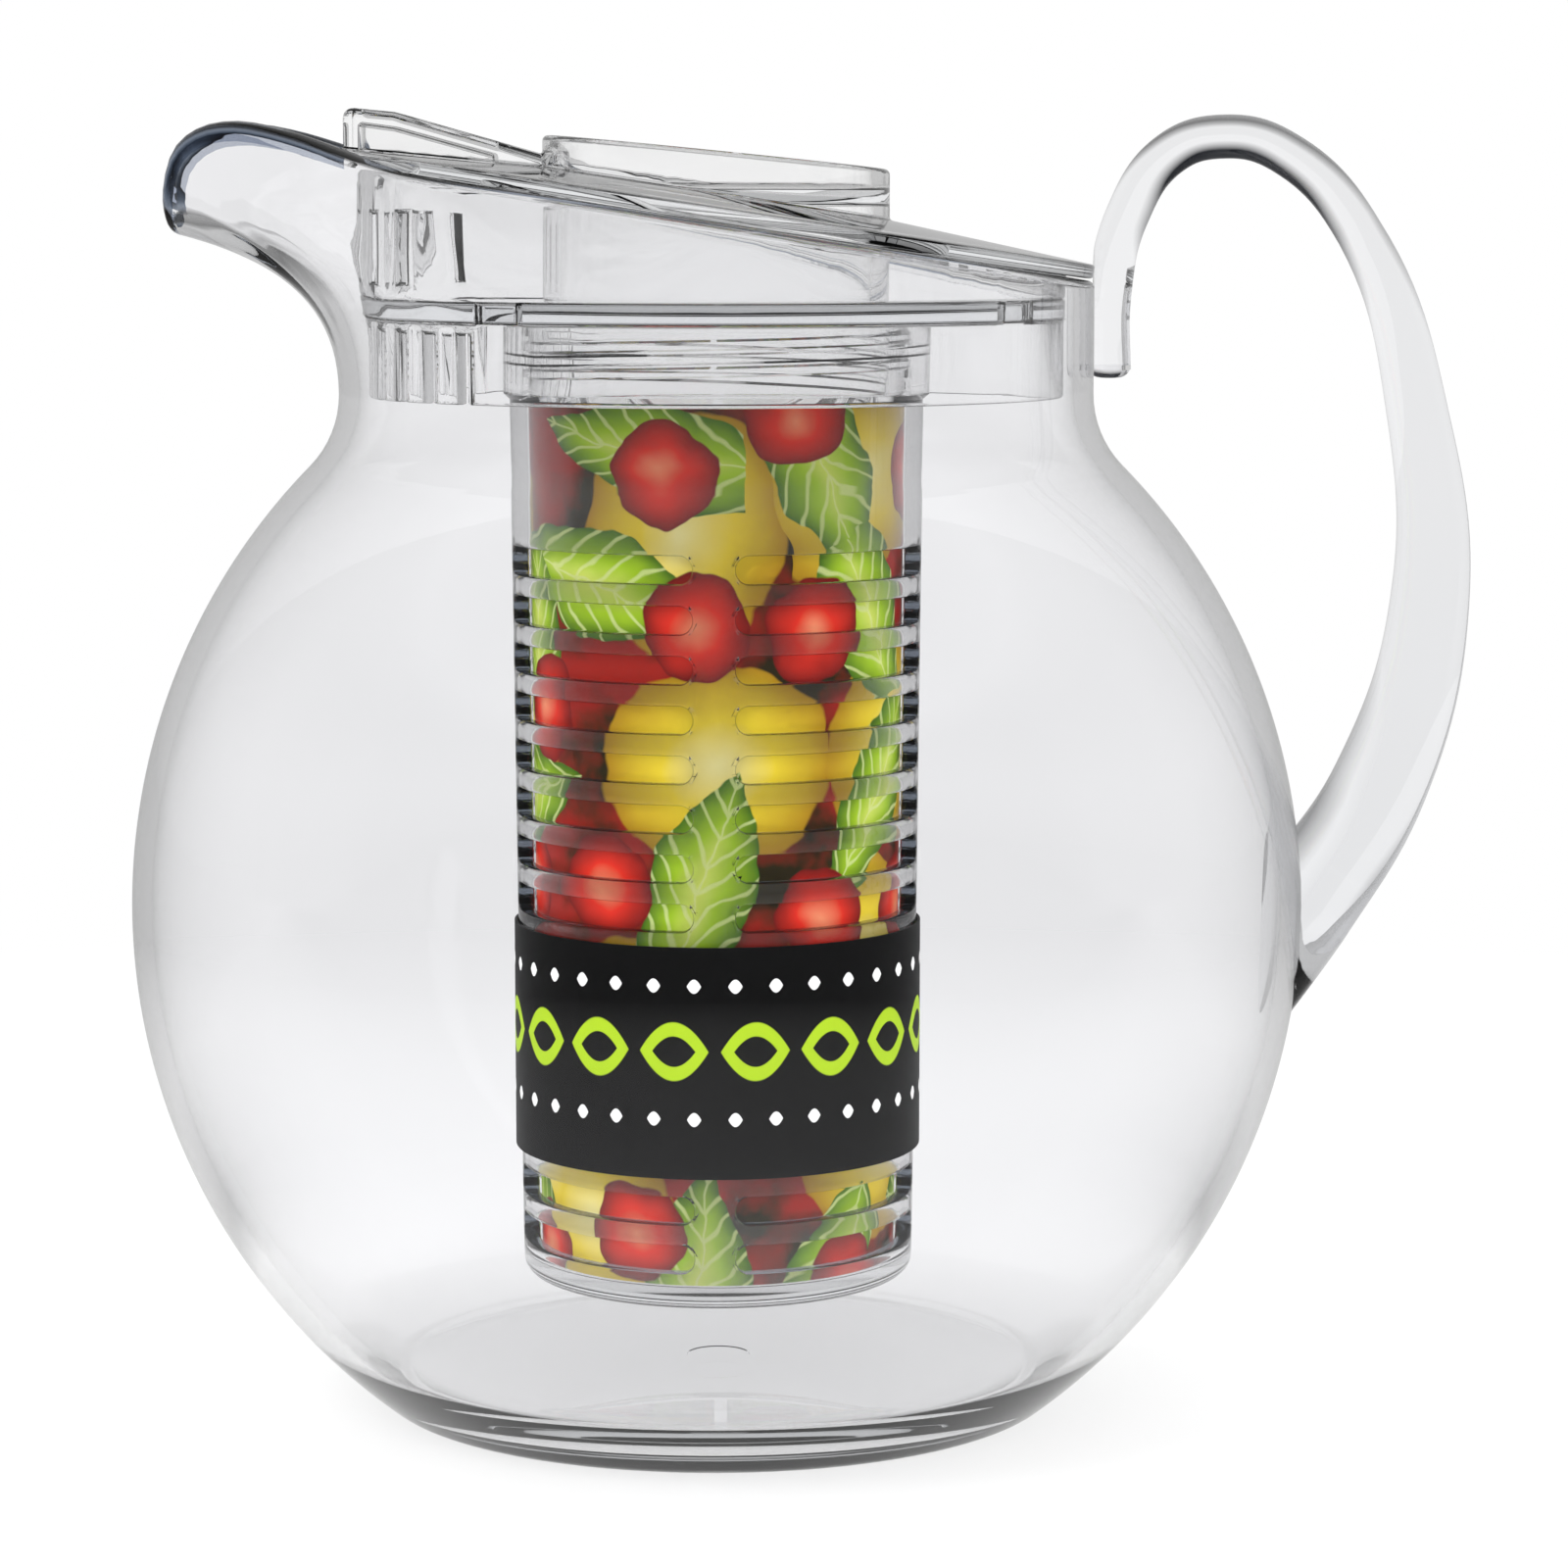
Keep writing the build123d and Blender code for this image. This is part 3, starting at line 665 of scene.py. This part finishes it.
# Three scattered kinds of motif, each with its spacing, start, half length and half width in mm,
# and its inks from middle to edge.
for kind, spacing, start, half_length, half_width, inks in (
    ("plum", 37.0, (7, 3, 0), 19.0, 15.5, ("#fff4a8", "#f4d830", "#b48608")),
    ("leaf", 33.0, (61, 40, 0), 21.0, 8.5, ("#e2f06c", "#a8d01e", "#3f7012")),
    ("cherry", 29.0, (17, 90, 0), 8.2, 8.2, ("#ff9a70", "#ee2c16", "#780e08")),
):
    shifted = add_node(
        tree,
        "ShaderNodeVectorMath",
        {"operation": "ADD"},
        {0: bend.outputs[0], 1: start},
    )
    cells = add_node(
        tree,
        "ShaderNodeTexVoronoi",
        {"voronoi_dimensions": "2D", "feature": "F1"},
        {"Vector": shifted.outputs[0], "Scale": 1 / spacing, "Randomness": 0.7},
    )
    offset = add_node(
        tree,
        "ShaderNodeVectorMath",
        {"operation": "SUBTRACT"},
        {0: shifted.outputs[0], 1: cells.outputs["Position"]},
    )
    chance = add_node(tree, "ShaderNodeSeparateColor", None, {0: cells.outputs["Color"]})
    angle = add_node(
        tree,
        "ShaderNodeMath",
        {"operation": "MULTIPLY"},
        {0: chance.outputs[0], 1: 2 * math.pi},
    )
    turned = add_node(
        tree,
        "ShaderNodeVectorRotate",
        {"rotation_type": "Z_AXIS"},
        {"Vector": offset.outputs[0], "Angle": angle.outputs[0]},
    )
    scaled = add_node(
        tree,
        "ShaderNodeVectorMath",
        {"operation": "DIVIDE"},
        {0: turned.outputs[0], 1: (half_length, half_width, 1)},
    )
    sides = add_node(tree, "ShaderNodeSeparateXYZ", None, {0: scaled.outputs[0]})
    across = add_node(tree, "ShaderNodeMath", {"operation": "ABSOLUTE"}, {0: sides.outputs[1]})
    if kind == "leaf":
        square = add_node(
            tree,
            "ShaderNodeMath",
            {"operation": "MULTIPLY"},
            {0: sides.outputs[0], 1: sides.outputs[0]},
        )
        size = add_node(
            tree,
            "ShaderNodeMath",
            {"operation": "ADD"},
            {0: across.outputs[0], 1: square.outputs[0]},
        )
    else:
        size = add_node(tree, "ShaderNodeVectorMath", {"operation": "LENGTH"}, {0: scaled.outputs[0]})
    reach = size.outputs["Value"]
    shade = add_node(tree, "ShaderNodeValToRGB", None, {"Fac": reach})
    shade.color_ramp.elements[0].color = hex_colour(inks[0])
    shade.color_ramp.elements[1].color = hex_colour(inks[2])
    middle = shade.color_ramp.elements.new(0.45)
    middle.color = hex_colour(inks[1])
    colour = shade.outputs["Color"]
    if kind == "leaf":
        slant = add_node(
            tree,
            "ShaderNodeMath",
            {"operation": "MULTIPLY_ADD"},
            {0: across.outputs[0], 1: -0.5, 2: sides.outputs[0]},
        )
        comb = add_node(
            tree,
            "ShaderNodeMath",
            {"operation": "PINGPONG"},
            {0: slant.outputs[0], 1: VEIN_SPACING},
        )
        vein = add_node(
            tree,
            "ShaderNodeMath",
            {"operation": "MINIMUM"},
            {0: comb.outputs[0], 1: across.outputs[0]},
        )
        line_mask = add_node(
            tree,
            "ShaderNodeMapRange",
            None,
            {
                "Value": vein.outputs[0],
                "From Min": 0.012,
                "From Max": 0.03,
                "To Min": 0.7,
                "To Max": 0.0,
            },
        )
        veins = add_node(
            tree,
            "ShaderNodeMix",
            {"data_type": "RGBA"},
            {0: line_mask.outputs[0], 6: colour, 7: hex_colour(VEIN_INK)},
        )
        colour = veins.outputs[2]
    mask = add_node(
        tree,
        "ShaderNodeMapRange",
        None,
        {"Value": reach, "From Min": 0.97, "From Max": 1.0, "To Min": 1.0, "To Max": 0.0},
    )
    layer = add_node(
        tree,
        "ShaderNodeMix",
        {"data_type": "RGBA"},
        {0: mask.outputs[0], 6: print_colour, 7: colour},
    )
    print_colour = layer.outputs[2]
tree.links.new(print_colour, shader.inputs["Base Color"])
card.data.materials.append(card_ink)
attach(card, "card")
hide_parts("fruit_card")

# Label band. A sleeve of dark paper, glued into a ring and pushed up round the tube.
# It is a thin ring with plain ornament and no words: a row of open leaf shapes between two rows of dots.
LABEL_BORE = 31.57
LABEL_LOW = 41.0
LABEL_HEIGHT = 35.5
LABEL_THICKNESS = 0.4
LABEL_ROWS = 4
LABEL_ROUND = 2 * math.pi * (LABEL_BORE + LABEL_THICKNESS)
LABEL_BLACK = "#060607"
LABEL_LIME = "#a9cc1f"
LABEL_WHITE = "#f2f2f0"
LEAF_PITCH = LABEL_ROUND / 16
DOT_PITCH = LABEL_ROUND / 32
label_outline = [
    (LABEL_BORE + LABEL_THICKNESS, LABEL_LOW + LABEL_HEIGHT * i / LABEL_ROWS)
    for i in range(LABEL_ROWS + 1)
]
label = spin_outline("label_band_print", label_outline, TUBE_STEPS)
finish_with(label, "SOLIDIFY", thickness=LABEL_THICKNESS * MM, offset=-1, use_even_offset=True)
wrap_map(label, LABEL_LOW, LABEL_HEIGHT)
bpy.ops.object.shade_smooth_by_angle(angle=ROUND_ANGLE)

# Coated black paper, satin: deep black ink with a soft sheen that shows the curve of the tube.
label_ink = bpy.data.materials.new("paper_black_satin")
label_ink.use_nodes = True
tree = label_ink.node_tree
shader = tree.nodes["Principled BSDF"]
shader.inputs["Roughness"].default_value = 0.42
shader.inputs["Specular IOR Level"].default_value = 0.05
place = add_node(tree, "ShaderNodeUVMap", {"uv_map": "print"})
flat = add_node(
    tree,
    "ShaderNodeVectorMath",
    {"operation": "MULTIPLY"},
    {0: place.outputs[0], 1: (LABEL_ROUND, LABEL_HEIGHT, 0)},
)
sides = add_node(tree, "ShaderNodeSeparateXYZ", None, {0: flat.outputs[0]})
print_colour = hex_colour(LABEL_BLACK)
# Each row: height of its middle, pitch round the sleeve, half length and half width in mm, and ink.
for middle_z, pitch, half_length, half_width, ink in (
    (19.6, LEAF_PITCH, 5.4, 4.6, LABEL_LIME),
    (19.6, LEAF_PITCH, 3.4, 2.4, LABEL_BLACK),
    (9.2, DOT_PITCH, 1.1, 1.1, LABEL_WHITE),
    (29.6, DOT_PITCH, 1.1, 1.1, LABEL_WHITE),
):
    part = add_node(
        tree,
        "ShaderNodeMath",
        {"operation": "FLOORED_MODULO"},
        {0: sides.outputs[0], 1: pitch},
    )
    across = add_node(
        tree,
        "ShaderNodeMath",
        {"operation": "MULTIPLY_ADD"},
        {0: part.outputs[0], 1: 1 / half_length, 2: -pitch / 2 / half_length},
    )
    up = add_node(
        tree,
        "ShaderNodeMath",
        {"operation": "MULTIPLY_ADD"},
        {0: sides.outputs[1], 1: 1 / half_width, 2: -middle_z / half_width},
    )
    square = add_node(
        tree,
        "ShaderNodeMath",
        {"operation": "MULTIPLY"},
        {0: across.outputs[0], 1: across.outputs[0]},
    )
    height = add_node(tree, "ShaderNodeMath", {"operation": "ABSOLUTE"}, {0: up.outputs[0]})
    size = add_node(
        tree,
        "ShaderNodeMath",
        {"operation": "ADD"},
        {0: square.outputs[0], 1: height.outputs[0]},
    )
    mask = add_node(
        tree,
        "ShaderNodeMapRange",
        None,
        {"Value": size.outputs[0], "From Min": 0.95, "From Max": 1.0, "To Min": 1.0, "To Max": 0.0},
    )
    layer = add_node(
        tree,
        "ShaderNodeMix",
        {"data_type": "RGBA"},
        {0: mask.outputs[0], 6: print_colour, 7: hex_colour(ink)},
    )
    print_colour = layer.outputs[2]
tree.links.new(print_colour, shader.inputs["Base Color"])
label.data.materials.append(label_ink)
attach(label, "infuser")
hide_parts("label_band")

# Table. A matt white laminate top. Seen directly it is white and keeps the object's soft shadow.
# Rays that come through or off the acrylic find it dark where they meet it steeply, and light right
# under the jug and after many bends. In a mirrored image it is dimmer, most of all in front.
TABLE_SIZE = 8
TABLE_DROP = 0.3
TABLE_TINT = "#d2d2d2"
WHITE = (1, 1, 1, 1)
bpy.ops.object.select_all(action="DESELECT")
bpy.ops.mesh.primitive_plane_add(size=TABLE_SIZE, location=(0, 0, -TABLE_DROP * MM))
floor = bpy.context.object
floor.name = "floor"
bpy.ops.object.transform_apply(location=True, rotation=True, scale=True)
table_white = bpy.data.materials.new("table_laminate_white")
table_white.use_nodes = True
tree = table_white.node_tree
shader = tree.nodes["Principled BSDF"]
shader.inputs["Base Color"].default_value = hex_colour(TABLE_TINT)
shader.inputs["Roughness"].default_value = 0.9
place = add_node(tree, "ShaderNodeTexCoord")
away = add_node(tree, "ShaderNodeVectorMath", {"operation": "LENGTH"}, {0: place.outputs["Object"]})
path = add_node(tree, "ShaderNodeLightPath")
facing = add_node(tree, "ShaderNodeLayerWeight", None, {"Blend": 0.5})
steep = add_node(
    tree,
    "ShaderNodeMapRange",
    None,
    {
        "Value": facing.outputs["Facing"],
        "From Min": 0.48,
        "From Max": 0.72,
        "To Min": 0.03,
        "To Max": 0.94,
    },
)
under = add_node(
    tree,
    "ShaderNodeMapRange",
    None,
    {"Value": away.outputs["Value"], "From Min": 0.1, "From Max": 0.16, "To Min": 0.9, "To Max": 0.0},
)
inner = add_node(
    tree,
    "ShaderNodeMapRange",
    None,
    {"Value": path.outputs["Transmission Depth"], "From Min": 4.0, "From Max": 8.0, "To Max": 0.9},
)
lit = add_node(
    tree,
    "ShaderNodeMath",
    {"operation": "MAXIMUM"},
    {0: inner.outputs[0], 1: under.outputs[0]},
)
table = add_node(
    tree,
    "ShaderNodeMath",
    {"operation": "MAXIMUM"},
    {0: steep.outputs[0], 1: lit.outputs[0]},
)
ground = add_node(tree, "ShaderNodeSeparateXYZ", None, {0: place.outputs["Object"]})
behind = add_node(
    tree,
    "ShaderNodeMapRange",
    None,
    {"Value": ground.outputs[1], "From Min": -0.2, "From Max": 0.05, "To Min": 0.1, "To Max": 0.6},
)
image = add_node(
    tree,
    "ShaderNodeMath",
    {"operation": "MAXIMUM"},
    {0: behind.outputs[0], 1: lit.outputs[0]},
)
gloss = add_node(
    tree,
    "ShaderNodeMix",
    {"data_type": "FLOAT"},
    {0: path.outputs["Glossy Depth"], 2: 1.0, 3: image.outputs[0]},
)
mirrored = add_node(
    tree,
    "ShaderNodeMath",
    {"operation": "MULTIPLY"},
    {0: table.outputs[0], 1: gloss.outputs[0]},
)
bent = add_node(
    tree,
    "ShaderNodeMath",
    {"operation": "ADD"},
    {0: path.outputs["Transmission Depth"], 1: path.outputs["Glossy Depth"]},
)
tone = add_node(
    tree,
    "ShaderNodeMix",
    {"data_type": "FLOAT"},
    {0: bent.outputs[0], 2: 1.0, 3: mirrored.outputs[0]},
)
glow = add_node(tree, "ShaderNodeEmission", None, {"Color": WHITE, "Strength": tone.outputs[0]})
seen = add_node(
    tree,
    "ShaderNodeMath",
    {"operation": "SUBTRACT"},
    {0: 1.0, 1: path.outputs["Diffuse Depth"]},
)
fade = add_node(
    tree,
    "ShaderNodeMapRange",
    None,
    {"Value": away.outputs["Value"], "From Min": 0.1, "From Max": 0.5, "To Min": 0.75, "To Max": 1.0},
)
share = add_node(
    tree,
    "ShaderNodeMath",
    {"operation": "MULTIPLY", "use_clamp": True},
    {0: seen.outputs[0], 1: fade.outputs[0]},
)
mix = add_node(
    tree,
    "ShaderNodeMixShader",
    None,
    {0: share.outputs[0], 1: shader.outputs[0], 2: glow.outputs[0]},
)
tree.links.new(mix.outputs[0], tree.nodes["Material Output"].inputs["Surface"])
floor.data.materials.append(table_white)

# Studio. A white room with a dark ceiling, so that the edges of the clear plastic draw dark lines.
# The camera sees plain white, diffuse surfaces get an even light from all sides,
# and mirrored images of the room are dim in front and brighter behind.
CEILING_TINT = "#10141c"
CEILING_FROM, CEILING_TO = 0.56, 0.70
ROOM_LIGHT = (2.6, 2.6, 2.6, 1)
world = bpy.data.worlds.new("studio")
bpy.context.scene.world = world
world.use_nodes = True
tree = world.node_tree
tree.nodes.clear()
direction = add_node(tree, "ShaderNodeTexCoord")
sides = add_node(tree, "ShaderNodeSeparateXYZ", None, {0: direction.outputs["Generated"]})
rise = add_node(
    tree,
    "ShaderNodeMapRange",
    None,
    {"Value": sides.outputs[2], "From Min": -1.0, "From Max": 1.0},
)
through = add_node(tree, "ShaderNodeValToRGB", None, {"Fac": rise.outputs[0]})
through.color_ramp.elements[0].position = CEILING_FROM
through.color_ramp.elements[0].color = WHITE
through.color_ramp.elements[1].position = CEILING_TO
through.color_ramp.elements[1].color = hex_colour(CEILING_TINT)
path = add_node(tree, "ShaderNodeLightPath")
behind = add_node(
    tree,
    "ShaderNodeMapRange",
    None,
    {"Value": sides.outputs[1], "From Min": -0.3, "From Max": 0.3, "To Min": 0.1, "To Max": 0.6},
)
inner = add_node(
    tree,
    "ShaderNodeMapRange",
    None,
    {"Value": path.outputs["Transmission Depth"], "From Min": 4.0, "From Max": 8.0, "To Max": 0.9},
)
lit = add_node(
    tree,
    "ShaderNodeMix",
    {"data_type": "RGBA"},
    {0: inner.outputs[0], 6: through.outputs["Color"], 7: WHITE},
)
image = add_node(
    tree,
    "ShaderNodeMath",
    {"operation": "MAXIMUM"},
    {0: behind.outputs[0], 1: inner.outputs[0]},
)
high = add_node(
    tree,
    "ShaderNodeMix",
    {"data_type": "RGBA"},
    {0: path.outputs["Glossy Depth"], 6: lit.outputs[2], 7: image.outputs[0]},
)
gloss = add_node(
    tree,
    "ShaderNodeMix",
    {"data_type": "RGBA"},
    {0: path.outputs["Is Camera Ray"], 6: high.outputs[2], 7: WHITE},
)
studio = add_node(
    tree,
    "ShaderNodeMix",
    {"data_type": "RGBA"},
    {0: path.outputs["Diffuse Depth"], 6: gloss.outputs[2], 7: ROOM_LIGHT},
)
light = add_node(tree, "ShaderNodeBackground", None, {"Color": studio.outputs[2], "Strength": 1.0})
add_node(tree, "ShaderNodeOutputWorld", None, {"Surface": light.outputs[0]})

# Lamp and camera. One soft round lamp from the upper left, which doesn't mirror in the plastic,
# and a long lens at about the rim's height, tipped down to the photograph's angle.
LAMP_PLACE = (-0.55, -0.75, 0.95)
LAMP_SIZE = 0.35
LAMP_POWER = 9.0
LAMP_AIM = (0, 0, 0.1)
CAMERA_PLACE = (0.0105, -0.75, 0.1871)
CAMERA_TILT = 83.2
CAMERA_LENS = 110.25
LIGHT_BOUNCES = 32
bpy.ops.object.light_add(type="AREA", location=LAMP_PLACE)
lamp = bpy.context.object
lamp.name = "soft_lamp"
lamp.data.shape = "DISK"
lamp.data.size = LAMP_SIZE
lamp.data.energy = LAMP_POWER
lamp.visible_glossy = False
lamp.visible_transmission = False
lamp.rotation_euler = (Vector(LAMP_AIM) - lamp.location).to_track_quat("-Z", "Y").to_euler()

bpy.ops.object.camera_add(location=CAMERA_PLACE, rotation=(math.radians(CAMERA_TILT), 0, 0))
camera = bpy.context.object
camera.data.sensor_width = 36
camera.data.lens = CAMERA_LENS
camera.data.clip_start = 0.01
bpy.context.scene.camera = camera

scene = bpy.context.scene
scene.view_settings.view_transform = "Standard"
scene.cycles.max_bounces = LIGHT_BOUNCES
scene.cycles.transmission_bounces = LIGHT_BOUNCES
